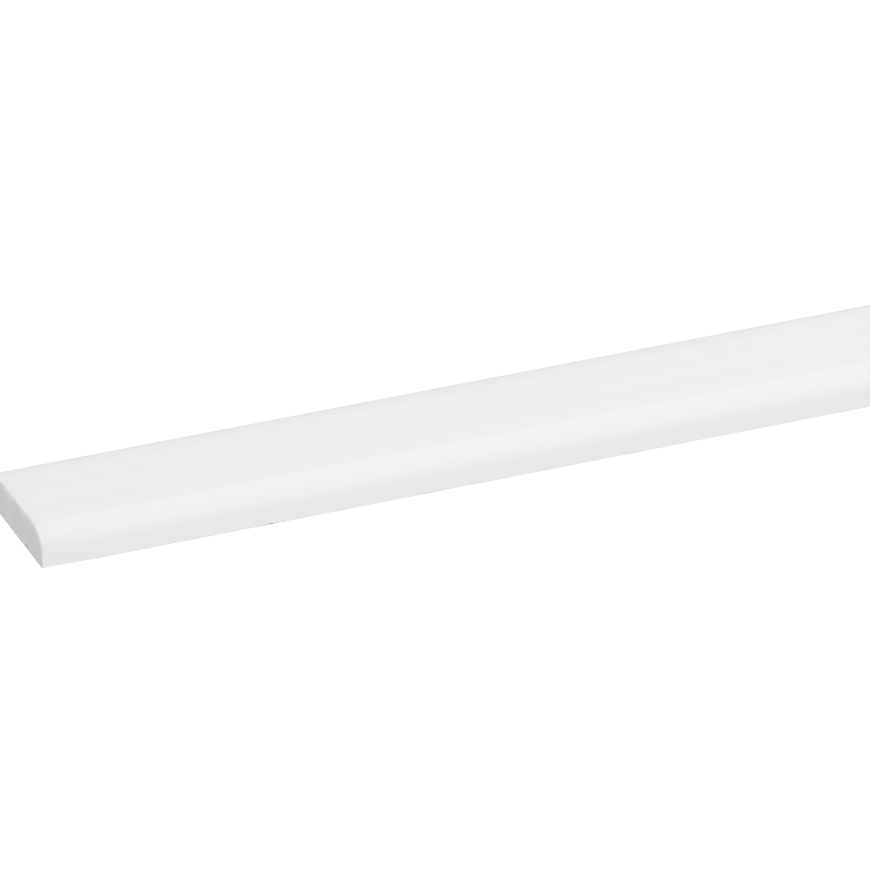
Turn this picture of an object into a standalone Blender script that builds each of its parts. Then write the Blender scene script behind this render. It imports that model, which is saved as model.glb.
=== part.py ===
"""A white cover strip: a flat moulding that hides a joint, with one long edge rolled over and the other left square.

The strip lies on its flat underside. +X runs along its length, -Y is the rolled front edge, +Y the square back
edge and +Z the face that shows. The origin is in the middle of the underside.
"""

import math

import bpy

# Driving dimensions, in metres
STRIP_LENGTH = 0.320
STRIP_WIDTH = 0.045
STRIP_THICKNESS = 0.012
SHOULDER_RADIUS = 0.0125    # the large arc that rolls the flat face over towards the front
SHOULDER_DROP = 0.0057      # how far that arc has fallen where it would meet the front face
FRONT_BLEND_RADIUS = 0.0015   # softens the corner between the arc and the upright front face
BACK_EASING_RADIUS = 0.0006   # takes the sharpness off the top corner of the back edge
UNDERSIDE_EASING_RADIUS = 0.0003   # takes the sharpness off both lower corners

# How finely the round stretches are divided, in degrees for each facet
SHOULDER_FACET = 1.5
EASING_FACET = 15.0

# The paint, as linear colour
PAINT_COLOUR = (0.80, 0.80, 0.815, 1.0)
PAINT_ROUGHNESS = 0.42

# Points closer together than this are one point
MERGE_DISTANCE = 0.00001


def clear_scene():
    for thing in list(bpy.data.objects):
        bpy.data.objects.remove(thing, do_unlink=True)


def make_collection(name):
    collection = bpy.data.collections.new(name)
    bpy.context.scene.collection.children.link(collection)
    return collection


def paint_material():
    material = bpy.data.materials.new("white_paint")
    material.use_nodes = True
    shader = material.node_tree.nodes["Principled BSDF"]
    shader.inputs["Base Color"].default_value = PAINT_COLOUR
    shader.inputs["Roughness"].default_value = PAINT_ROUGHNESS
    shader.inputs["Metallic"].default_value = 0.0
    return material


def arc(centre, radius, start, end, facet):
    """Points from the start angle to the end angle, in degrees, anticlockwise about the centre."""
    steps = max(2, math.ceil((end - start) / facet))
    points = []
    for step in range(steps + 1):
        angle = math.radians(start + (end - start) * step / steps)
        across = centre[0] + radius * math.cos(angle)
        up = centre[1] + radius * math.sin(angle)
        points.append((across, up))
    return points


def section():
    """The outline of the strip cut across, anticlockwise, from the front face at 0 and the underside at 0."""
    shoulder_start = math.sqrt(SHOULDER_DROP * (2 * SHOULDER_RADIUS - SHOULDER_DROP))
    shoulder_centre = (shoulder_start, STRIP_THICKNESS - SHOULDER_RADIUS)

    # The blend touches the arc from inside and the front face, so its centre is one radius behind that face
    blend_reach = SHOULDER_RADIUS - FRONT_BLEND_RADIUS
    blend_back = shoulder_start - FRONT_BLEND_RADIUS
    blend_rise = math.sqrt(blend_reach ** 2 - blend_back ** 2)
    blend_centre = (FRONT_BLEND_RADIUS, shoulder_centre[1] + blend_rise)
    blend_angle = 90 + math.degrees(math.atan2(blend_back, blend_rise))

    lower = UNDERSIDE_EASING_RADIUS
    upper = BACK_EASING_RADIUS
    back_corner = (STRIP_WIDTH - upper, STRIP_THICKNESS - upper)
    return (
        arc((lower, lower), lower, 180, 270, EASING_FACET)
        + arc((STRIP_WIDTH - lower, lower), lower, 270, 360, EASING_FACET)
        + arc(back_corner, upper, 0, 90, EASING_FACET)
        + arc(shoulder_centre, SHOULDER_RADIUS, 90, blend_angle, SHOULDER_FACET)
        + arc(blend_centre, FRONT_BLEND_RADIUS, blend_angle, 180, SHOULDER_FACET)[1:]
    )


def make_strip(collection, material):
    """The section as a flat curve, given its length by an extrude of half of it to either side."""
    outline = section()
    curve = bpy.data.curves.new("cover_strip", "CURVE")
    curve.dimensions = "2D"
    curve.fill_mode = "BOTH"
    curve.extrude = STRIP_LENGTH / 2
    spline = curve.splines.new("POLY")
    spline.points.add(len(outline) - 1)
    for point, (across, up) in zip(spline.points, outline):
        point.co = (across - STRIP_WIDTH / 2, up, 0.0, 1.0)
    spline.use_cyclic_u = True
    curve.materials.append(material)

    strip = bpy.data.objects.new("cover_strip", curve)
    # Stands the flat section up and turns it, so that its thickness is along Z and its length along X
    strip.rotation_euler = (math.radians(90), 0.0, math.radians(90))
    collection.objects.link(strip)

    weld = strip.modifiers.new("join_cut_ends", "WELD")
    weld.merge_threshold = MERGE_DISTANCE
    return strip


def main():
    clear_scene()
    make_strip(make_collection("cover_strip"), paint_material())


main()
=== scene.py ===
# %% [markdown]
# A white cover strip: the flat moulding that is pinned over a joint between two boards. One long edge is
# rolled over, so that it looks soft from the room, and the other is left square, so that it sits tight
# against its neighbour. It is planed softwood with a sprayed satin white paint.
#
# The imported model gives the strip its size and place. It is loaded first and never changed. Everything
# below is fitted to its box.

# %% load the imported model and keep its box
import math

import bmesh
import bpy
from mathutils import Euler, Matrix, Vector, noise


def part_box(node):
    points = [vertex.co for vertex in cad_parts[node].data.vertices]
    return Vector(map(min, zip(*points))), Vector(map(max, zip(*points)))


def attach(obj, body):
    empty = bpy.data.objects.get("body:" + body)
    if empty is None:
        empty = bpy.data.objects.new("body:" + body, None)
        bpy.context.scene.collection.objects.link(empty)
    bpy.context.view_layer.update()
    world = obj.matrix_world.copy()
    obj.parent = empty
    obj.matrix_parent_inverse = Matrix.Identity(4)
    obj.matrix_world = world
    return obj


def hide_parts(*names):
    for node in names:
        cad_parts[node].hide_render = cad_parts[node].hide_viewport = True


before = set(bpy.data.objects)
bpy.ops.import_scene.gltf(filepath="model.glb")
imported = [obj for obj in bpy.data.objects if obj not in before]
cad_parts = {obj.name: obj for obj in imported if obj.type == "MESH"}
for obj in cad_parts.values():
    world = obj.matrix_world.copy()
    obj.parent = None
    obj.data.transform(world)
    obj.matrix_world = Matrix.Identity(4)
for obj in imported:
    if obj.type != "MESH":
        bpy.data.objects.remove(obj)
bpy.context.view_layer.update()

strip_low, strip_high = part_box("cover_strip")
LENGTH, WIDTH, THICKNESS = strip_high - strip_low
MM = 0.001               # one millimetre in the scene's metres
print(f"the strip is {LENGTH / MM:.1f} x {WIDTH / MM:.1f} x {THICKNESS / MM:.1f} mm")

# %% [markdown]
# The camera comes first, because every comparison depends on it. The two long edges of the strip hardly
# draw together across the picture, so it was taken with a long lens from about three metres away. The
# direction and the lens were found by making the strip's straight edges fall on those of the picture.

# %% a long lens, low on the left
CAMERA_PLACE = (-1.0592, -2.5175, 1.4803)
CAMERA_AZIMUTH = -22.483   # degrees round from looking along +Y
CAMERA_ELEVATION = 28.390  # degrees looked down
CAMERA_ROLL = 0.140        # degrees
CAMERA_LENS = 399.2        # millimetres
SENSOR_WIDTH = 36.0        # millimetres
CAMERA_CLIP = (0.1, 50.0)  # metres

camera_data = bpy.data.cameras.new("long_lens")
camera_data.sensor_width = SENSOR_WIDTH
camera_data.lens = CAMERA_LENS
camera_data.clip_start, camera_data.clip_end = CAMERA_CLIP
camera = bpy.data.objects.new("long_lens", camera_data)
camera.location = CAMERA_PLACE
pitch = math.radians(90 - CAMERA_ELEVATION)
aim = Euler((pitch, 0.0, math.radians(CAMERA_AZIMUTH)), "XYZ").to_matrix()
roll = Euler((0.0, 0.0, math.radians(CAMERA_ROLL)), "XYZ").to_matrix()
camera.rotation_euler = (aim @ roll).to_euler()
bpy.context.scene.collection.objects.link(camera)
bpy.context.scene.camera = camera
print("camera", [round(value, 3) for value in camera.location])

# %% [markdown]
# Light and paint are both described by nodes, small steps that are linked together. Two helpers keep this
# short: one adds a node with its settings, the other adds a sum or a product and links what goes into it.

# %% helpers for nodes
def add(tree, kind, **settings):
    """A node with its plain settings. Socket values are set by the caller."""
    node = tree.nodes.new(kind)
    for name, value in settings.items():
        setattr(node, name, value)
    return node


def calculate(tree, operation, first, second=None, third=None):
    """A Math node whose inputs are sockets or numbers. Returns its output."""
    node = add(tree, "ShaderNodeMath", operation=operation)
    for socket, value in zip(node.inputs, (first, second, third)):
        if isinstance(value, bpy.types.NodeSocket):
            tree.links.new(value, socket)
        elif value is not None:
            socket.default_value = value
    return node.outputs[0]


print("node helpers:", [helper.__name__ for helper in (add, calculate)])

# %% [markdown]
# White on white only reads through small steps of grey, so the light matters more than anything else. A
# tent of white cloth round the table gives light from everywhere, but not evenly: lamps outside it stand
# on the right, so the cloth is brightest there and nearly dark on the left, where the cut end looks. A
# tent is a world whose brightness grows evenly along one direction. The picture itself sees plain white
# behind the strip.

# %% a lighting tent, brightest on the right
TENT_BRIGHTNESS = 0.58
TENT_LEAN = Vector((0.68, -0.14, 0.43))   # how much brighter it gets towards +X, +Y and +Z
PLAIN_WHITE = (1.0, 1.0, 1.0, 1.0)

bpy.context.scene.view_settings.view_transform = "Standard"
world = bpy.data.worlds.new("lighting_tent")
bpy.context.scene.world = world
world.use_nodes = True
tent = world.node_tree
direction = add(tent, "ShaderNodeTexCoord")
lean = add(tent, "ShaderNodeVectorMath", operation="DOT_PRODUCT")
lean.inputs[1].default_value = TENT_LEAN
tent.links.new(direction.outputs["Generated"], lean.inputs[0])
brightness = calculate(tent, "ADD", lean.outputs["Value"], TENT_BRIGHTNESS)
never_negative = calculate(tent, "MAXIMUM", brightness, 0.0)
cloth = tent.nodes["Background"]
cloth.inputs["Color"].default_value = PLAIN_WHITE
tent.links.new(never_negative, cloth.inputs["Strength"])
white_sheet = add(tent, "ShaderNodeBackground")
white_sheet.inputs["Color"].default_value = PLAIN_WHITE
seen_directly = add(tent, "ShaderNodeLightPath")
choose = add(tent, "ShaderNodeMixShader")
tent.links.new(seen_directly.outputs["Is Camera Ray"], choose.inputs[0])
tent.links.new(cloth.outputs[0], choose.inputs[1])
tent.links.new(white_sheet.outputs[0], choose.inputs[2])
tent.links.new(choose.outputs[0], tent.nodes["World Output"].inputs["Surface"])
print("the tent leans", [round(value, 2) for value in TENT_LEAN])

# %% [markdown]
# One large softbox hangs over the table. A satin surface shows it as a broad sheen where the surface
# leans half way between the lamp and the eye, about thirty degrees, and that puts a soft light band along
# the rolled edge.

# %% a softbox above
SOFTBOX_PLACE = Vector((0.35, 0.05, 1.5))
SOFTBOX_SIZE = (1.8, 1.2)
SOFTBOX_POWER = 7.7        # watts
SOFTBOX_COLOUR = (1.0, 0.99, 0.97)

softbox_data = bpy.data.lights.new("softbox", "AREA")
softbox_data.shape = "RECTANGLE"
softbox_data.size, softbox_data.size_y = SOFTBOX_SIZE
softbox_data.energy = SOFTBOX_POWER
softbox_data.color = SOFTBOX_COLOUR
softbox = bpy.data.objects.new("softbox", softbox_data)
softbox.location = SOFTBOX_PLACE
softbox.rotation_euler = (-SOFTBOX_PLACE).to_track_quat("-Z", "Y").to_euler()
softbox.visible_camera = False
bpy.context.scene.collection.objects.link(softbox)
print("softbox", SOFTBOX_SIZE, "m, at", [round(value, 2) for value in SOFTBOX_PLACE])

# %% [markdown]
# The table is a sheet of white acrylic with a lamp below it, the usual way to photograph a white thing on
# white: it glows just enough to burn out to pure white, and the strip's own shadow all but drowns in the
# glow.

# %% a glowing white table
TABLE_SIZE = 12.0
TABLE_DROP = 0.05 * MM     # keeps the table just clear of the strip's underside
TABLE_GLOW = 0.95
TABLE_WHITE = 0.20
TABLE_ROUGHNESS = 0.9


def mesh_object(name, shape):
    """Turns a finished bmesh into an object at the origin, and frees the bmesh."""
    mesh = bpy.data.meshes.new(name)
    shape.to_mesh(mesh)
    shape.free()
    made = bpy.data.objects.new(name, mesh)
    bpy.context.scene.collection.objects.link(made)
    return made


table_shape = bmesh.new()
bmesh.ops.create_grid(table_shape, x_segments=1, y_segments=1, size=TABLE_SIZE / 2)
bmesh.ops.translate(table_shape, verts=table_shape.verts, vec=(0.0, 0.0, -TABLE_DROP))
table = mesh_object("table", table_shape)
acrylic = bpy.data.materials.new("glowing_acrylic")
acrylic.use_nodes = True
acrylic_shader = acrylic.node_tree.nodes["Principled BSDF"]
acrylic_shader.inputs["Base Color"].default_value = (TABLE_WHITE, TABLE_WHITE, TABLE_WHITE, 1.0)
acrylic_shader.inputs["Roughness"].default_value = TABLE_ROUGHNESS
acrylic_shader.inputs["Specular IOR Level"].default_value = 0.0
acrylic_shader.inputs["Emission Color"].default_value = PLAIN_WHITE
acrylic_shader.inputs["Emission Strength"].default_value = TABLE_GLOW
table.data.materials.append(acrylic)
print("table", TABLE_SIZE, "m across, glow", TABLE_GLOW)

# %% [markdown]
# The section is what makes this strip this strip. A spindle moulder cuts it in one pass: flat below and
# behind, flat on top, and along the front a large arc that falls 5.7 mm and ends in a small upright face.
# Spinning a single vertex about an arc's centre draws that arc as a chain of edges, so each round stretch
# needs only its centre, its radius and how far it turns. The straight stretches are one edge each.

# %% draw the section at the left end
SHOULDER_RADIUS = 12.5 * MM
SHOULDER_DROP = 5.7 * MM
FRONT_BLEND_RADIUS = 3.5 * MM     # the solid has 1.5 mm, but the real strip turns more softly here
BACK_EASING_RADIUS = 0.6 * MM
UNDERSIDE_EASING_RADIUS = 0.3 * MM
MERGE_DISTANCE = 0.001 * MM       # points closer together than this are one point

front = strip_low.y
back = strip_high.y
shoulder_y = front + math.sqrt(SHOULDER_DROP * (2 * SHOULDER_RADIUS - SHOULDER_DROP))
shoulder_z = THICKNESS - SHOULDER_RADIUS
blend_y = front + FRONT_BLEND_RADIUS
blend_reach = SHOULDER_RADIUS - FRONT_BLEND_RADIUS
blend_z = shoulder_z + math.sqrt(blend_reach ** 2 - (shoulder_y - blend_y) ** 2)
shoulder_turn = math.degrees(math.atan2(shoulder_y - blend_y, blend_z - shoulder_z))

# Each arc: its centre across and up, its radius, its starting angle, how far it turns, and its steps
SECTION_ARCS = (
    (front + UNDERSIDE_EASING_RADIUS, UNDERSIDE_EASING_RADIUS, UNDERSIDE_EASING_RADIUS, 180, 90, 4),
    (back - UNDERSIDE_EASING_RADIUS, UNDERSIDE_EASING_RADIUS, UNDERSIDE_EASING_RADIUS, 270, 90, 4),
    (back - BACK_EASING_RADIUS, THICKNESS - BACK_EASING_RADIUS, BACK_EASING_RADIUS, 0, 90, 6),
    (shoulder_y, shoulder_z, SHOULDER_RADIUS, 90, shoulder_turn, 36),
    (blend_y, blend_z, FRONT_BLEND_RADIUS, 90 + shoulder_turn, 90 - shoulder_turn, 12),
)


def draw_section(arcs, x):
    """One face in the plane of a cut end, its outline spun arc by arc."""
    shape = bmesh.new()
    last = None
    for across, up, radius, start, turn, steps in arcs:
        angle = math.radians(start)
        place = Vector((x, across + radius * math.cos(angle), up + radius * math.sin(angle)))
        if last is None:
            last = shape.verts.new(place)
            first = last
        else:
            step = bmesh.ops.extrude_vert_indiv(shape, verts=[last])
            last = step["verts"][0]
            last.co = place
        spun = bmesh.ops.spin(shape, geom=[last], cent=(x, across, up), axis=(1.0, 0.0, 0.0),
                              angle=math.radians(turn), steps=steps, use_merge=False)
        last = [item for item in spun["geom_last"] if isinstance(item, bmesh.types.BMVert)][0]
    bmesh.ops.contextual_create(shape, geom=[last, first])
    bmesh.ops.remove_doubles(shape, verts=shape.verts, dist=MERGE_DISTANCE)
    bmesh.ops.contextual_create(shape, geom=shape.edges[:])
    return shape


strip = draw_section(SECTION_ARCS, strip_low.x)
print("section:", len(strip.verts), "points,", len(strip.faces), "face")

# %% [markdown]
# A moulding is its section drawn out along a line, so the face is extruded once to the far end. Extruding
# a lone face leaves it facing into the solid, and its normals are put right straight away. The two cut
# ends then get two narrow rings just inside their outline, by inset. They are there for the arrises,
# which are rounded later.

# %% draw the section out to its length and ring the cut ends
END_RINGS = (0.12 * MM, 0.14 * MM)     # each ring's width, from the outline inwards
END_FACING = 0.9      # a normal with more than this share along X belongs to a cut end


def draw_out(shape, length):
    """Extrudes the section's face to the other end and turns every face outwards."""
    drawn = bmesh.ops.extrude_face_region(shape, geom=shape.faces[:])
    moved = [item for item in drawn["geom"] if isinstance(item, bmesh.types.BMVert)]
    bmesh.ops.translate(shape, verts=moved, vec=(length, 0.0, 0.0))
    bmesh.ops.recalc_face_normals(shape, faces=shape.faces)


def ring_cut_ends(shape):
    shape.normal_update()
    ends = [face for face in shape.faces if abs(face.normal.x) > END_FACING]
    for width in END_RINGS:
        bmesh.ops.inset_region(shape, faces=ends, thickness=width, use_even_offset=True)


draw_out(strip, LENGTH)
ring_cut_ends(strip)
print("drawn out:", len(strip.faces), "faces,", round(strip.calc_volume() / MM ** 3), "cubic millimetres")

# %% [markdown]
# The wood's grain, the saw's marks and a small chip are far finer than these long faces, so the faces
# have to be divided before any of it can be shaped. Slicing the whole solid with planes divides the long
# faces and the cut ends by the same lines, so nothing is left unjoined. Slices run close together where
# there is fine work, which is at both ends and round the chips, and two millimetres apart elsewhere,
# because grain changes slowly lengthwise.

# %% slice the solid for fine work
SLICE_PITCH = 0.4 * MM
LENGTHWISE_PITCH = 2.0 * MM
FOOT_SLICES = [height * MM for height in (0.5, 0.65, 0.95)]
END_SLICES = [depth * MM for depth in (0.1, 0.22, 0.36, 0.52, 0.75, 1.1, 1.7, 2.6, 4.0)]
CHIP_PLACE = -81.6 * MM       # along the length, on the lower front arris
CHIP_SLICES = [CHIP_PLACE + step * 0.2 * MM for step in range(-18, 23)]
SNAP = 0.09 * MM              # a corner closer than this to a slice is used as it is
LONG_STRETCH = 1.5            # in pitches; what is longer is divided


def slice_across(shape, axis, places):
    """Cuts the solid by planes square to one axis, without taking anything away."""
    normal = Vector((0.0, 0.0, 0.0))
    normal[axis] = 1.0
    for place in places:
        everything = shape.verts[:] + shape.edges[:] + shape.faces[:]
        bmesh.ops.bisect_plane(shape, geom=everything, dist=SNAP if axis else MERGE_DISTANCE,
                               plane_co=normal * place, plane_no=normal)


def even_places(low, high, pitch):
    """Places spread evenly between two ends, without the ends, about one pitch apart."""
    steps = round((high - low) / pitch)
    return [low + (high - low) * step / steps for step in range(1, steps)]


def divide_lengthwise(shape, pitch):
    """Divides what is still long, one stretch between two slices at a time."""
    stretches = {}
    for edge in shape.edges:
        near, far = sorted(vertex.co.x for vertex in edge.verts)
        if far - near > LONG_STRETCH * pitch:
            stretches.setdefault((round(near / MM, 2), round(far / MM, 2)), []).append(edge)
    for (near, far), edges in stretches.items():
        cuts = round((far - near) * MM / pitch) - 1
        bmesh.ops.subdivide_edges(shape, edges=edges, cuts=cuts)


def count_triangles(shape):
    return sum(len(face.verts) - 2 for face in shape.faces)


slice_across(strip, 1, even_places(front, back, SLICE_PITCH))
slice_across(strip, 2, even_places(0.0, THICKNESS, SLICE_PITCH))
slice_across(strip, 1, [front + depth for depth in FOOT_SLICES])
slice_across(strip, 2, FOOT_SLICES)
slice_across(strip, 0, [strip_low.x + depth for depth in END_SLICES])
slice_across(strip, 0, [strip_high.x - depth for depth in END_SLICES])
slice_across(strip, 0, CHIP_SLICES)
divide_lengthwise(strip, LENGTHWISE_PITCH)
open_edges = sum(1 for edge in strip.edges if not edge.is_manifold)
print("sliced:", count_triangles(strip), "triangles,", open_edges, "open edges")

# %% [markdown]
# Paint on softwood never lies quite flat. The soft part of each year's ring sinks a little as it dries
# and the hard part stays proud, so faint long streaks show where the light rakes across. Rings are
# cylinders round the heart of the tree, so one rule, the distance from a heart line that runs along the
# strip, gives the streaks on the long faces and the arcs on the cut ends, and they meet at the arrises as
# they do in wood. The relief only goes inwards, so the strip never outgrows its own box.

# %% the rings of the tree as a rule, and how far they sink the paint
HEART = Vector((0.0, -34.0 * MM, -31.0 * MM))   # the heart line, below and in front of the strip
RING_PITCH = 2.6 * MM
RING_WAVER = 1.4 * MM          # how far a ring strays over the length of the strip
RING_WAVES = (9.0, 16.0)       # noise waves to a metre, along the strip and across it
RING_SINK = 0.012 * MM
BAND_PITCH = 12.4 * MM         # broad hollows across the width, left by the planer and the drying
BAND_CREST = 2.6 * MM          # where one crest lies, across from the middle of the strip
BAND_SINK = 0.050 * MM
BAND_WAVER = 2.5 * MM
BAND_WAVES = 6.0
BAND_FADE = 0.25               # the share of a hollow's depth that comes and goes
BAND_FADE_WAVES = (11.0, 40.0)


def wander(first, second, third):
    """Smooth noise from about -1 to 1. A plain number among the three picks a pattern of its own."""
    return noise.noise(Vector((first, second, third)))


def rise(value, low, high):
    """From 0 up to the low value to 1 from the high value on."""
    return min(1.0, max(0.0, (value - low) / (high - low)))


def ring_share(place):
    """From 0 in the middle of the hard wood of a ring to 1 in the middle of its soft wood."""
    along, across = RING_WAVES
    stray = RING_WAVER * wander(place.x * along, place.y * across, place.z * across)
    from_heart = math.hypot(place.y - HEART.y, place.z - HEART.z) + stray
    return 0.5 - 0.5 * math.cos(2 * math.pi * from_heart / RING_PITCH)


def band_share(place):
    """From 0 on a crest of the broad hollows to 1 at the bottom of one."""
    along, across = BAND_FADE_WAVES
    stray = BAND_WAVER * wander(place.x * BAND_WAVES, 3.7, 0.0)
    fade = 1.0 - BAND_FADE + BAND_FADE * wander(place.x * along, place.y * across, 8.1)
    return fade * (0.5 - 0.5 * math.cos(2 * math.pi * (place.y - BAND_CREST + stray) / BAND_PITCH))


def depth_from_ends(place):
    return min(place.x - strip_low.x, strip_high.x - place.x)


def depth_from_outline(place):
    """How deep inside the section's outline a place lies."""
    depth = min(place.z, THICKNESS - place.z, place.y - front, back - place.y)
    for across, up, radius, start, turn, _ in SECTION_ARCS:
        angle = math.degrees(math.atan2(place.z - up, place.y - across)) % 360
        if start <= angle <= start + turn:
            depth = min(depth, radius - math.hypot(place.y - across, place.z - up))
    return max(0.0, depth)


rings_crossed = math.hypot(back - HEART.y, THICKNESS - HEART.z) - math.hypot(front - HEART.y, HEART.z)
print("about", round(rings_crossed / RING_PITCH), "rings cross the cut end")

# %% [markdown]
# A brush of sandpaper has taken the sharpness off the arrises that show, by less than a millimetre, and
# hardly touched the lower ones. The rounding is a rule for every point near an arris. Its two distances,
# from the end and from the outline, say where it lay on the square corner, and it moves to the same share
# of the way round a quarter circle. It comes before any other shaping, while both distances are still
# exact. A hand never sands evenly, so the radius wanders a little.

# %% round the cut ends' arrises
LOWER_ARRIS_RADIUS = 0.18 * MM
UPPER_ARRIS_RADIUS = 0.60 * MM
ARRIS_CHANGE = (1.5 * MM, 7.0 * MM)    # the heights between which the radius grows from lower to upper
ARRIS_UNEVENNESS = 0.30                # share of the radius
ARRIS_WAVES = 330.0
SLOPE_STEP = 0.002 * MM                # how far apart two depths are read to find which way is inwards


def arris_radius(place, side):
    grown = UPPER_ARRIS_RADIUS - LOWER_ARRIS_RADIUS
    radius = LOWER_ARRIS_RADIUS + grown * rise(place.z, *ARRIS_CHANGE)
    uneven = ARRIS_UNEVENNESS * wander(side * 4.0, place.y * ARRIS_WAVES, place.z * ARRIS_WAVES)
    return radius * (1.0 + uneven)


def inwards(place):
    """The direction, across the section, in which the depth inside the outline grows fastest."""
    across = Vector((0.0, SLOPE_STEP, 0.0))
    up = Vector((0.0, 0.0, SLOPE_STEP))
    slope = Vector((0.0, depth_from_outline(place + across) - depth_from_outline(place - across),
                    depth_from_outline(place + up) - depth_from_outline(place - up)))
    return slope.normalized()


def round_arrises(shape):
    moved = 0
    for vertex in shape.verts:
        side = 1.0 if vertex.co.x > 0 else -1.0
        radius = arris_radius(vertex.co, side)
        from_end = depth_from_ends(vertex.co)
        from_outline = depth_from_outline(vertex.co)
        if from_end >= radius or from_outline >= radius:
            continue
        angle = math.radians(45 * (1 + (from_end - from_outline) / radius))
        inward = inwards(vertex.co)
        vertex.co.x -= side * (radius * (1 - math.cos(angle)) - from_end)
        vertex.co += inward * (radius * (1 - math.sin(angle)) - from_outline)
        moved += 1
    return moved


print(round_arrises(strip), "points moved onto the rounded arrises")

# %% [markdown]
# The next step moves each point of the long faces inwards by the rings and, on the face that shows, by
# the broad hollows. Handling and sanding have also let the last few millimetres of the top, and the last
# few centimetres of the front, fall off towards each cut end by a fraction of a millimetre. That is why
# the paint looks a shade darker there.

# %% sink the long faces
END_FALL = 0.20 * MM           # what the face that shows has lost at the very end
END_FALL_REACH = 6.0 * MM
FRONT_FALL = 0.62 * MM         # what the front has lost there
FRONT_FALL_REACH = 32.0 * MM
FRONT_FALL_DEPTH = 12.0 * MM   # how far behind the front it is still felt


def sink_long_faces(shape):
    shape.normal_update()
    deepest = 0.0
    for vertex in shape.verts:
        outward = vertex.normal.copy()
        if abs(outward.x) > END_FACING:
            continue
        outward.x = 0.0
        outward.normalize()
        sink = RING_SINK * ring_share(vertex.co)
        sink += BAND_SINK * band_share(vertex.co) * max(0.0, outward.z) ** 2
        from_end = depth_from_ends(vertex.co)
        sink += END_FALL * max(0.0, outward.z) * max(0.0, 1.0 - from_end / END_FALL_REACH) ** 2
        vertex.co -= outward * sink
        deepest = max(deepest, sink)
    return deepest


def let_front_fall_back(shape):
    furthest = 0.0
    for vertex in shape.verts:
        near_end = max(0.0, 1.0 - depth_from_ends(vertex.co) / FRONT_FALL_REACH)
        near_front = max(0.0, 1.0 - (vertex.co.y - front) / FRONT_FALL_DEPTH)
        fall = FRONT_FALL * near_front * near_end ** 2
        vertex.co.y += fall
        furthest = max(furthest, fall)
    return furthest


print("long faces sunk by up to", round(sink_long_faces(strip) / MM, 3), "mm")
print("front fallen back by up to", round(let_front_fall_back(strip) / MM, 3), "mm")

# %% [markdown]
# The strip was cut to length with a circular saw. Each tooth leaves a shallow arc, struck from the middle
# of the blade, and the end grain drinks the first coat of paint, so the arcs and the rings stay visible
# on the cut end where a long face would hide them.

# %% saw the ends
BLADE_MIDDLE = Vector((0.0, 22.0 * MM, 118.0 * MM))   # the blade stood above the strip
TOOTH_PITCH = 1.15 * MM
TOOTH_DEPTH = 0.022 * MM
TOOTH_STRAY = 0.35 * MM
TOOTH_STRAY_WAVES = 150.0
TOOTH_FADE = 0.35              # the share of a mark's depth that comes and goes
TOOTH_FADE_WAVES = 220.0
END_RING_SINK = 0.018 * MM
END_ROUGHNESS = 0.014 * MM
END_ROUGHNESS_WAVES = 1400.0


def saw_cut_depth(place, side):
    """How far the saw and the thirsty end grain leave a place on a cut end below its highest points."""
    across, up = place.y, place.z
    from_blade = math.hypot(across - BLADE_MIDDLE.y, up - BLADE_MIDDLE.z)
    stray = TOOTH_STRAY * wander(across * TOOTH_STRAY_WAVES, up * TOOTH_STRAY_WAVES, side * 5.0)
    tooth = 0.5 - 0.5 * math.cos(2 * math.pi * (from_blade + stray) / TOOTH_PITCH)
    fade = wander(across * TOOTH_FADE_WAVES, up * TOOTH_FADE_WAVES, side * 9.0)
    strength = 1.0 - TOOTH_FADE + TOOTH_FADE * fade
    pits = 0.5 + 0.5 * wander(across * END_ROUGHNESS_WAVES, up * END_ROUGHNESS_WAVES, side * 13.0)
    return TOOTH_DEPTH * tooth * strength + END_RING_SINK * ring_share(place) + END_ROUGHNESS * pits


def saw_ends(shape):
    shape.normal_update()
    for vertex in shape.verts:
        if abs(vertex.normal.x) > END_FACING:
            side = 1.0 if vertex.co.x > 0 else -1.0
            vertex.co.x -= side * saw_cut_depth(vertex.co, side)


saw_ends(strip)
print("both ends sawn, marks every", round(TOOTH_PITCH / MM, 2), "mm")

# %% [markdown]
# Small damage stays as it is on the real strip. Four little chips sit close together on the lower front
# arris, where the paint has come away with a splinter and left a shallow dent above, and the saw has torn
# seven crumbs out of the near end, just above its lower edge, as it broke through. A chip is a scoop:
# every point inside an egg-shaped space is pushed to its far side. What was pushed is bare wood, given
# a neutral grey that also paints in the shade inside the hollow, and an attribute on the points keeps
# that for the material.

# %% chip the lower arrises
# Each chip: its middle, its half sizes along X, Y and Z in millimetres, and the way it is pushed
FRONT_CHIPS = (
    ((CHIP_PLACE - 2.9 * MM, front, 0.10 * MM), (1.3, 0.16, 0.26), (0.0, 1.0, 0.35)),
    ((CHIP_PLACE - 1.1 * MM, front, 0.26 * MM), (0.75, 0.26, 0.32), (0.0, 1.0, 0.20)),
    ((CHIP_PLACE + 0.6 * MM, front, 0.30 * MM), (0.95, 0.05, 0.11), (0.0, 1.0, 0.20)),
    ((CHIP_PLACE + 3.3 * MM, front, 0.16 * MM), (0.75, 0.08, 0.16), (0.0, 1.0, 0.30)),
)
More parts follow.
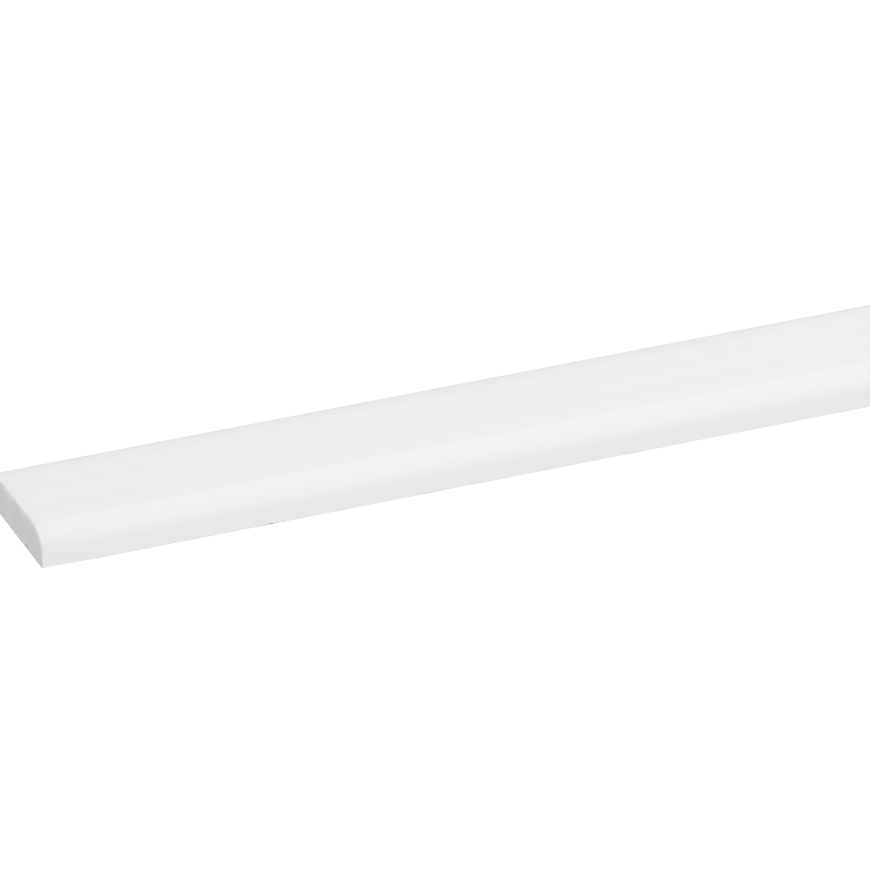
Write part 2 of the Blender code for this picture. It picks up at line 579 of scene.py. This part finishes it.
# Each crumb on the near end: how far behind the front and how far up it lies, and its half sizes
END_CRUMBS = (
    (5.6 * MM, 0.50 * MM, (0.14, 0.60, 0.40)),
    (8.4 * MM, 0.50 * MM, (0.18, 0.55, 0.42)),
    (14.8 * MM, 0.65 * MM, (0.32, 1.35, 0.75)),
    (25.0 * MM, 0.45 * MM, (0.18, 0.50, 0.42)),
    (28.9 * MM, 0.50 * MM, (0.22, 0.75, 0.50)),
    (33.4 * MM, 0.50 * MM, (0.18, 0.50, 0.42)),
    (37.0 * MM, 0.50 * MM, (0.18, 0.50, 0.42)),
)
CHIP_RAGGEDNESS = 0.30
CHIP_RAGGED_WAVES = 2600.0
CRUMB_PUSH = (1.0, 0.0, 0.15)
CRUMB_GREY_SHARE = 0.60          # the share of the chips' grey, bare wood and painted shade, that the crumbs take
DENT_PLACE = Vector((CHIP_PLACE + 1.3 * MM, front, 0.85 * MM))
DENT_HALVES = Vector((1.7, 1.0, 0.42)) * MM
DENT_DEPTH = 0.12 * MM
DENT_END = 3.0                 # in half sizes; nothing is left of the dent further out


def scoop(shape, bare_and_shade, middle, halves, push, grey_share=1.0):
    """Pushes what lies inside an egg-shaped space to its far side. Returns how many points it pushed."""
    middle = Vector(middle)
    pushed = 0
    for vertex in shape.verts:
        offset = vertex.co - middle
        ragged = 1.0 + CHIP_RAGGEDNESS * noise.noise(vertex.co * CHIP_RAGGED_WAVES)
        reach = Vector([half * MM * ragged for half in halves])
        inside = Vector([offset[i] / reach[i] for i in range(3)])
        if inside.length >= 1.0:
            continue
        way = Vector([push[i] / reach[i] for i in range(3)])
        along = inside.dot(way)
        far = -along + math.sqrt(along ** 2 + way.length_squared * (1.0 - inside.length_squared))
        vertex.co += Vector(push) * far / way.length_squared
        vertex[bare_and_shade] = max(vertex[bare_and_shade], grey_share)
        pushed += 1
    return pushed


def dent(shape, middle, halves, depth):
    """Presses a smooth hollow into the front face."""
    for vertex in shape.verts:
        offset = vertex.co - middle
        share = sum((offset[i] / halves[i]) ** 2 for i in range(3))
        if share < DENT_END ** 2:
            vertex.co.y += depth * math.exp(-share)


bare_wood_and_shade = strip.verts.layers.float.new("bare_wood_and_shade")
points = sum(scoop(strip, bare_wood_and_shade, *chip) for chip in FRONT_CHIPS)
for behind, up, halves in END_CRUMBS:
    middle = (strip_low.x, front + behind, up)
    points += scoop(strip, bare_wood_and_shade, middle, halves, CRUMB_PUSH, CRUMB_GREY_SHARE)
dent(strip, DENT_PLACE, DENT_HALVES, DENT_DEPTH)
print(len(FRONT_CHIPS) + len(END_CRUMBS), "chips,", points, "points pushed")

# %% [markdown]
# A second attribute marks where grey is painted in as shade, along three lines: the back arris of the face
# that shows, which turns away from the light, the lower arrises of the cut ends and, in patches, the lower
# front arris, where the strip meets the table. Along the back the painted shade also fades more slowly,
# over the last six millimetres. A third attribute marks painted light: a brighter white on the rounded
# upper arrises of the cut ends, where they catch the light, on the near end further down in two puffs,
# and a painted highlight on a lip above the chips.

# %% mark where shade and light are painted along the arrises
BACK_SHADE_LINE = (0.34, 1.7 * MM)      # how dark the painted shade is at the back arris, and over what distance it fades
BACK_SHADE_MARGIN = (0.20, 6.0 * MM)
END_FOOT_REACH = 0.60 * MM             # how far up the painted shade at the foot reaches on a cut end
FRONT_FOOT_REACH = 0.40 * MM           # and on the front
EDGE_SHADE_LEVEL = (0.75, 0.35)              # how dark the painted shade is on average, and how much that wanders
EDGE_SHADE_WAVES = (90.0, 400.0)
FRONT_PATCHES = (0.35, 1.4)            # the same on the front, where the painted shade lies only in patches
FRONT_PATCH_WAVES = 130.0
ARRIS_LIGHT_REACH = 0.6 * MM
ARRIS_LIGHT_FOOT = (0.3 * MM, 1.3 * MM)  # the heights between which it grows
# Each puff of painted light: how far behind the front, how wide, and how much further down it reaches
ARRIS_LIGHT_PUFFS = ((30.2 * MM, 2.6 * MM, 1.4 * MM), (17.3 * MM, 2.6 * MM, 0.9 * MM))
FAR_ARRIS_LIGHT = 0.4                    # the far end's arrises get less painted light, and no puffs
ARRIS_TURN = (0.25, 0.70)              # the normal's shares along X between which the painted light comes in
LIP_HIGHLIGHT_SHARE = 0.30
MARKED = 0.25                          # more than this counts as painted shade or painted light in what is printed


# How dark the painted shade is: at the back arris, which turns away from the light, and along the lower
# arrises, where the strip meets the table. Noise makes it uneven.
def edge_shade_amount(place):
    mean, change = EDGE_SHADE_LEVEL
    uneven = mean + change * wander(place.x * EDGE_SHADE_WAVES[0], place.y * EDGE_SHADE_WAVES[1], 2.5)
    front_mean, front_change = FRONT_PATCHES
    patches = max(0.0, front_mean + front_change * wander(place.x * FRONT_PATCH_WAVES, 6.1, 0.0))
    from_back = math.hypot(back - place.y, THICKNESS - place.z)
    behind = BACK_SHADE_LINE[0] * math.exp(-(from_back / BACK_SHADE_LINE[1]) ** 2)
    behind += BACK_SHADE_MARGIN[0] * math.exp(-from_back / BACK_SHADE_MARGIN[1])
    below_end = math.exp(-(depth_from_ends(place) ** 2 + place.z ** 2) / END_FOOT_REACH ** 2)
    below_front = math.exp(-((place.y - front) ** 2 + place.z ** 2) / FRONT_FOOT_REACH ** 2)
    return min(1.0, max(behind * uneven / mean, below_end * uneven, below_front * patches))


# How much painted light a rounded arris near a cut end gets, standing in for the light that it catches.
def arris_light_share(place):
    share_up = rise(place.z, *ARRIS_LIGHT_FOOT)
    if place.x > 0:
        return FAR_ARRIS_LIGHT * share_up * math.exp(-depth_from_outline(place) / ARRIS_LIGHT_REACH)
    reach = ARRIS_LIGHT_REACH
    for behind, width, further in ARRIS_LIGHT_PUFFS:
        reach += further * math.exp(-((place.y - front - behind) / width) ** 2)
    return share_up * math.exp(-depth_from_outline(place) / reach)


def lip_highlight_share(place):
    """A painted highlight on the lip that the chips have pressed up, in the middle of their dent."""
    offset = place - DENT_PLACE
    return LIP_HIGHLIGHT_SHARE * math.exp(-sum((offset[i] / DENT_HALVES[i]) ** 2 for i in range(3)))


# Painted shade along the back arris and the lower arrises.
painted_edge_shade = strip.verts.layers.float.new("painted_edge_shade")
# Painted light on the cut ends' rounded upper arrises, and a painted highlight on the chips' lip.
painted_arris_light = strip.verts.layers.float.new("painted_arris_light")
strip.normal_update()
for vertex in strip.verts:
    turned_to_end = rise(abs(vertex.normal.x), *ARRIS_TURN)
    vertex[painted_edge_shade] = edge_shade_amount(vertex.co)
    vertex[painted_arris_light] = max(turned_to_end * arris_light_share(vertex.co), lip_highlight_share(vertex.co))
print(sum(vertex[painted_edge_shade] > MARKED for vertex in strip.verts), "points have thin paint")
print(sum(vertex[painted_arris_light] > MARKED for vertex in strip.verts), "points have thick paint")

# %% [markdown]
# The shape is finished and becomes a mesh object. It is shaded smooth, except along edges that turn
# sharply, such as the lips of the chips.

# %% turn the shape into the piece
PIECE_SMOOTH_ANGLE = 40    # degrees; an edge that turns further stays crisp

triangles = count_triangles(strip)
painted_strip = mesh_object("painted_strip", strip)
painted_strip.data.shade_smooth()
painted_strip.data.set_sharp_from_angle(angle=math.radians(PIECE_SMOOTH_ANGLE))
print("the piece has", triangles, "triangles")

# %% [markdown]
# Three finishes share the same wood and the same sprayed film, so those effects are node groups. A group
# puts out only masks and heights, and each material decides what they do to its own colour, gloss and
# bumps. All of them read Object coordinates, which on this piece are real metres, so every pattern has a
# real size.

# %% helpers for patterns
def stretch(tree, place, factors):
    """Multiplies a place by three factors, which squeezes or draws out a pattern along an axis."""
    node = add(tree, "ShaderNodeVectorMath", operation="MULTIPLY")
    tree.links.new(place, node.inputs[0])
    node.inputs[1].default_value = factors
    return node.outputs[0]


def clouds(tree, place, scale, detail=2.0, roughness=0.5):
    """Soft noise from 0 to 1."""
    node = add(tree, "ShaderNodeTexNoise")
    tree.links.new(place, node.inputs["Vector"])
    node.inputs["Scale"].default_value = scale
    node.inputs["Detail"].default_value = detail
    node.inputs["Roughness"].default_value = roughness
    return node.outputs["Fac"]


def new_group(name, inputs, outputs):
    """An empty node group with named sockets. Returns the group, its input node and its output node."""
    group = bpy.data.node_groups.new(name, "ShaderNodeTree")
    for label, kind in inputs:
        group.interface.new_socket(name=label, in_out="INPUT", socket_type=kind)
    for label in outputs:
        group.interface.new_socket(name=label, in_out="OUTPUT", socket_type="NodeSocketFloat")
    return group, add(group, "NodeGroupInput"), add(group, "NodeGroupOutput")


print("pattern helpers:", [helper.__name__ for helper in (stretch, clouds, new_group)])

# %% [markdown]
# The grain group follows the rule that shaped the mesh: the distance from the heart line, divided by the
# width of a ring. Fibres are much finer and lie along the strip, so their noise is drawn out thirty times
# lengthwise.

# %% node group: grain
RING_DRAW_OUT = (0.25, 1.0, 1.0)        # the strays of the rings are four times longer along the strip
RING_STRAY_WAVES = 34.0
FIBRE_DRAW_OUT = (1 / 30, 1.0, 1.0)
FIBRE_WAVES = 2100.0

grain, grain_in, grain_out = new_group(
    "grain_under_paint",
    (("Place", "NodeSocketVector"), ("Ring Pitch", "NodeSocketFloat"), ("Stray", "NodeSocketFloat")),
    ("Rings", "Fibres"))
centred = add(grain, "ShaderNodeVectorMath", operation="SUBTRACT")
grain.links.new(grain_in.outputs["Place"], centred.inputs[0])
centred.inputs[1].default_value = HEART
around_heart = add(grain, "ShaderNodeVectorMath", operation="LENGTH")
grain.links.new(stretch(grain, centred.outputs[0], (0.0, 1.0, 1.0)), around_heart.inputs[0])
stray = clouds(grain, stretch(grain, grain_in.outputs["Place"], RING_DRAW_OUT), RING_STRAY_WAVES)
stray = calculate(grain, "MULTIPLY", calculate(grain, "SUBTRACT", stray, 0.5), grain_in.outputs["Stray"])
turns = calculate(grain, "DIVIDE", calculate(grain, "ADD", around_heart.outputs["Value"], stray),
                  grain_in.outputs["Ring Pitch"])
wave = calculate(grain, "COSINE", calculate(grain, "MULTIPLY", turns, 2 * math.pi))
grain.links.new(calculate(grain, "MULTIPLY_ADD", wave, -0.5, 0.5), grain_out.inputs["Rings"])
along_fibres = stretch(grain, grain_in.outputs["Place"], FIBRE_DRAW_OUT)
fibres = clouds(grain, along_fibres, FIBRE_WAVES, detail=3.0, roughness=0.6)
grain.links.new(fibres, grain_out.inputs["Fibres"])
print("group", grain.name)

# %% [markdown]
# A sprayed film dries with a skin like an orange's, here about a millimetre and a half from dimple to
# dimple, and a little dust settles in it. The film's thickness also drifts by a few hundredths of a
# millimetre over a hand's width, and the passes of the spray gun overlap in bands along the strip. Both
# are seen as faint changes of tone.

# %% node group: sprayed film
SKIN_DETAIL = 1.5                       # how much finer noise the dimples carry
DRIFT_DRAW_OUT = (0.16, 1.0, 1.0)
DRIFT_WAVES = 75.0
PASS_SWAY = 3.0 * MM                    # how far the drift bends the edge of a pass
SPECKS = 120.0                          # cells in a metre, with one speck of dust in each
SPECK_EDGE = (0.012, 0.030)             # in cells, how far from its middle it starts and ends fading

film, film_in, film_out = new_group(
    "sprayed_film",
    (("Place", "NodeSocketVector"), ("Dimple Size", "NodeSocketFloat"), ("Band Pitch", "NodeSocketFloat")),
    ("Skin", "Drift", "Bands", "Dust"))
dimples = add(film, "ShaderNodeTexNoise")
film.links.new(film_in.outputs["Place"], dimples.inputs["Vector"])
film.links.new(calculate(film, "DIVIDE", 1.0, film_in.outputs["Dimple Size"]), dimples.inputs["Scale"])
dimples.inputs["Detail"].default_value = SKIN_DETAIL
film.links.new(dimples.outputs["Fac"], film_out.inputs["Skin"])
drift = clouds(film, stretch(film, film_in.outputs["Place"], DRIFT_DRAW_OUT), DRIFT_WAVES, detail=1.0)
film.links.new(drift, film_out.inputs["Drift"])
film_parts = add(film, "ShaderNodeSeparateXYZ")
film.links.new(film_in.outputs["Place"], film_parts.inputs[0])
sway = calculate(film, "MULTIPLY_ADD", drift, PASS_SWAY, film_parts.outputs["Y"])
from_crest = calculate(film, "SUBTRACT", sway, BAND_CREST)
passes = calculate(film, "DIVIDE", from_crest, film_in.outputs["Band Pitch"])
band_wave = calculate(film, "COSINE", calculate(film, "MULTIPLY", passes, 2 * math.pi))
film.links.new(calculate(film, "MULTIPLY_ADD", band_wave, -0.5, 0.5), film_out.inputs["Bands"])
specks = add(film, "ShaderNodeTexVoronoi")
film.links.new(film_in.outputs["Place"], specks.inputs["Vector"])
specks.inputs["Scale"].default_value = SPECKS
near_speck = add(film, "ShaderNodeMapRange", interpolation_type="SMOOTHSTEP")
film.links.new(specks.outputs["Distance"], near_speck.inputs["Value"])
near_speck.inputs["From Min"].default_value, near_speck.inputs["From Max"].default_value = SPECK_EDGE
near_speck.inputs["To Min"].default_value = 1.0
near_speck.inputs["To Max"].default_value = 0.0
film.links.new(near_speck.outputs["Result"], film_out.inputs["Dust"])
print("group", film.name)

# %% [markdown]
# The lowest half millimetre of the strip, where it meets the table, is painted a shade darker: painted
# shade along the foot. The mask is strongest at the underside and ragged at its upper edge.

# %% node group: painted shade along the foot
FOOT_RAGGED_WAVES = 900.0

foot, foot_in, foot_out = new_group(
    "painted_shade_along_the_foot", (("Place", "NodeSocketVector"), ("Height", "NodeSocketFloat")), ("Foot Shade",))
heights = add(foot, "ShaderNodeSeparateXYZ")
foot.links.new(foot_in.outputs["Place"], heights.inputs[0])
ragged = clouds(foot, foot_in.outputs["Place"], FOOT_RAGGED_WAVES)
share_up = calculate(foot, "DIVIDE", heights.outputs["Z"], foot_in.outputs["Height"])
left = calculate(foot, "SUBTRACT", calculate(foot, "MULTIPLY", ragged, 2.0), share_up)
left = calculate(foot, "MINIMUM", calculate(foot, "MAXIMUM", left, 0.0), 1.0)
foot.links.new(left, foot_out.inputs["Foot Shade"])
print("group", foot.name)

# %% [markdown]
# A satin white for joinery reflects about four fifths of the light and has a broad, quiet sheen. The
# recipe is one function: a colour, how far the rings, the drift and the painted shade at the foot change
# it, how glossy it is and how deep its bumps are. Bumps are real heights in metres, because the Bump
# nodes have a distance of one metre.

# %% the paint recipe
PAINT_WHITE = (0.778, 0.776, 0.794)
# Bare wood in the chips: a neutral grey, dark enough to also paint in the shade inside their hollows.
BARE_WOOD_AND_SHADE = (0.47, 0.46, 0.445)
# Painted shade along the back arris and the lower arrises, and how far it darkens the white.
EDGE_SHADE_GREY = (0.50, 0.495, 0.485)
EDGE_SHADE_SHARE = 0.55
# Painted light on the rounded arrises of the cut ends, and a painted highlight on the chips' lip.
ARRIS_LIGHT_WHITE = (0.93, 0.93, 0.935)
# Grey for the dust specks, and for the painted shade along the foot.
DUST_AND_SHADE_GREY = (0.33, 0.32, 0.30)
BLACK = (0.0, 0.0, 0.0)
SPLINTER_SHADE = 0.7       # the share of its brightness that bare wood keeps between two fibres
BARE_ROUGHNESS = 0.9
DUST_SHARE = 0.05
DUST_HEIGHT = 0.5          # share of the skin's depth
TORN_PAINT = 0.7           # how ragged the paint has torn round the chips
TEAR_WAVES = 2400.0
TEAR_EDGE = (0.45, 0.65)   # where the tear starts and has ended, before it is made ragged
PAINT_IOR = 1.46
BUMP_METRE = 1.0


def mixed(tree, share, first, second):
    """A colour between two, each a socket or three numbers, by a share that changes over the surface."""
    node = add(tree, "ShaderNodeMix", data_type="RGBA")
    tree.links.new(share, node.inputs[0])
    for socket, value in ((node.inputs[6], first), (node.inputs[7], second)):
        if isinstance(value, bpy.types.NodeSocket):
            tree.links.new(value, socket)
        else:
            socket.default_value = (*value, 1.0)
    return node.outputs[2]


def use_group(tree, group, place, **values):
    """Places a group, fed with the place and its own plain values. Returns its outputs."""
    node = add(tree, "ShaderNodeGroup", node_tree=group)
    tree.links.new(place, node.inputs["Place"])
    for name, value in values.items():
        node.inputs[name.replace("_", " ")].default_value = value
    return node.outputs


def torn_edge(tree, place, mask):
    """Gives a mask that fades over one face a ragged edge, as torn paint has."""
    start, end = TEAR_EDGE
    ragged = calculate(tree, "MULTIPLY_ADD", clouds(tree, place, TEAR_WAVES), TORN_PAINT, mask)
    edge = add(tree, "ShaderNodeMapRange")
    tree.links.new(ragged, edge.inputs["Value"])
    edge.inputs["From Min"].default_value = start + TORN_PAINT / 2
    edge.inputs["From Max"].default_value = end + TORN_PAINT / 2
    return edge.outputs["Result"]


def shaded(colour, share):
    return tuple(value * share for value in colour)


def painted(name, colour, ring_tone, fibre_tone, drift_tone, band_tone, foot_shade_height, foot_shade_share, gloss,
            skin_depth, fibre_depth, ring_depth, dimple_size):
    """White paint on softwood. A tone is a share of brightness lost, gloss two roughnesses."""
    material = bpy.data.materials.new(name)
    material.use_nodes = True
    tree = material.node_tree
    shader = tree.nodes["Principled BSDF"]
    place = add(tree, "ShaderNodeTexCoord").outputs["Object"]
    wood = use_group(tree, grain, place, Ring_Pitch=RING_PITCH, Stray=2 * RING_WAVER)
    coat = use_group(tree, film, place, Dimple_Size=dimple_size, Band_Pitch=BAND_PITCH)
    # Painted shade along the foot, where the strip meets the table.
    foot_shade = use_group(tree, foot, place, Height=foot_shade_height)["Foot Shade"]
    bare_and_shade, edge_shade, arris_light = [add(tree, "ShaderNodeAttribute", attribute_name=mark).outputs["Fac"]
                         for mark in ("bare_wood_and_shade", "painted_edge_shade", "painted_arris_light")]
    bare_and_shade = torn_edge(tree, place, bare_and_shade)

    tone = mixed(tree, wood["Rings"], colour, shaded(colour, 1 - ring_tone))
    # The painted shade and painted light from the attributes, and the painted shade along the foot, are
    # mixed in here with the real tones of rings, drift, bands and dust.
    layers = ((wood["Fibres"], fibre_tone, BLACK), (coat["Drift"], drift_tone, BLACK),
              (coat["Bands"], band_tone, BLACK), (edge_shade, EDGE_SHADE_SHARE, EDGE_SHADE_GREY), (arris_light, 1.0, ARRIS_LIGHT_WHITE),
              (foot_shade, foot_shade_share, DUST_AND_SHADE_GREY), (coat["Dust"], DUST_SHARE, DUST_AND_SHADE_GREY))
    for mask, share, towards in layers:
        tone = mixed(tree, calculate(tree, "MULTIPLY", mask, share), tone, towards)
    # The chips' colour is bare wood together with painted shade in their hollows.
    splinter = mixed(tree, wood["Fibres"], BARE_WOOD_AND_SHADE, shaded(BARE_WOOD_AND_SHADE, SPLINTER_SHADE))
    tree.links.new(mixed(tree, bare_and_shade, tone, splinter), shader.inputs["Base Color"])

    rough = add(tree, "ShaderNodeMapRange")
    tree.links.new(wood["Fibres"], rough.inputs["Value"])
    rough.inputs["To Min"].default_value, rough.inputs["To Max"].default_value = gloss
    bare_rough = calculate(tree, "MULTIPLY", bare_and_shade, BARE_ROUGHNESS)
    rough_all = calculate(tree, "MAXIMUM", rough.outputs["Result"], bare_rough)
    tree.links.new(rough_all, shader.inputs["Roughness"])

    height = calculate(tree, "MULTIPLY", coat["Skin"], skin_depth)
    height = calculate(tree, "MULTIPLY_ADD", wood["Fibres"], fibre_depth, height)
    height = calculate(tree, "MULTIPLY_ADD", wood["Rings"], -ring_depth, height)
    height = calculate(tree, "MULTIPLY_ADD", coat["Dust"], DUST_HEIGHT * skin_depth, height)
    bump = add(tree, "ShaderNodeBump")
    bump.inputs["Distance"].default_value = BUMP_METRE
    tree.links.new(height, bump.inputs["Height"])
    tree.links.new(bump.outputs["Normal"], shader.inputs["Normal"])
    shader.inputs["Metallic"].default_value = 0.0
    shader.inputs["IOR"].default_value = PAINT_IOR
    return material


print("the paint reflects", round(sum(PAINT_WHITE) / 3, 2), "of the light")
print("bare wood reflects", round(sum(BARE_WOOD_AND_SHADE) / 3, 2), "of it")

# %% [markdown]
# The long faces get the full finish. The cut ends have one thirsty coat, so they are duller, a touch
# warmer and rougher, and their white is a touch darker, which also paints in part of their shade. The
# underside is never seen once the strip is up: it has a thin, flat primer through which the rings show
# more plainly.

# %% mix the three finishes
# The cut ends' white is warmer and a touch darker than the long faces'. The darkness is partly the thirsty
# coat and partly painted shade of the cut end.
END_WHITE_AND_SHADE = (0.754, 0.752, 0.746)
PRIMER_WHITE = (0.735, 0.728, 0.705)

long_face_paint = painted("satin_white_on_long_faces", PAINT_WHITE, ring_tone=0.004, fibre_tone=0.010,
                          drift_tone=0.016, band_tone=0.012, foot_shade_height=0.3 * MM, foot_shade_share=0.10,
                          gloss=(0.38, 0.47), skin_depth=0.006 * MM, fibre_depth=0.004 * MM, ring_depth=0.0,
                          dimple_size=1.6 * MM)
cut_end_paint = painted("thin_white_and_shade_on_cut_ends", END_WHITE_AND_SHADE, ring_tone=0.025, fibre_tone=0.022,
                        drift_tone=0.020, band_tone=0.0, foot_shade_height=0.7 * MM, foot_shade_share=0.45,
                        gloss=(0.58, 0.72), skin_depth=0.014 * MM, fibre_depth=0.010 * MM, ring_depth=0.0,
                        dimple_size=0.7 * MM)
underside_primer = painted("flat_primer_on_underside", PRIMER_WHITE, ring_tone=0.045, fibre_tone=0.060,
                           drift_tone=0.030, band_tone=0.0, foot_shade_height=0.1 * MM, foot_shade_share=0.10,
                           gloss=(0.68, 0.82), skin_depth=0.005 * MM, fibre_depth=0.012 * MM,
                           ring_depth=0.004 * MM, dimple_size=1.2 * MM)
finishes = (long_face_paint, cut_end_paint, underside_primer)
print("finishes:", [finish.name for finish in finishes])

# %% [markdown]
# Which finish a face gets follows from the way it faces. The rounded arrises have the paint of the long
# faces, because the spray reached them from above.

# %% give each face its finish
LONG_FACES, CUT_ENDS, UNDERSIDE = range(3)
CUT_END_FACING = 0.97     # steeper than for whole ends, so that the arrises keep the long faces' paint
UNDERSIDE_FACING = -0.9
for finish in finishes:
    painted_strip.data.materials.append(finish)
counts = [0] * len(finishes)
for face in painted_strip.data.polygons:
    if abs(face.normal.x) > CUT_END_FACING:
        face.material_index = CUT_ENDS
    elif face.normal.z < UNDERSIDE_FACING:
        face.material_index = UNDERSIDE
    else:
        face.material_index = LONG_FACES
    counts[face.material_index] += 1
print("faces by finish:", counts)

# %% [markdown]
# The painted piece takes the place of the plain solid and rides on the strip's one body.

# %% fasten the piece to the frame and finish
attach(painted_strip, "root")
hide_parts("cover_strip")
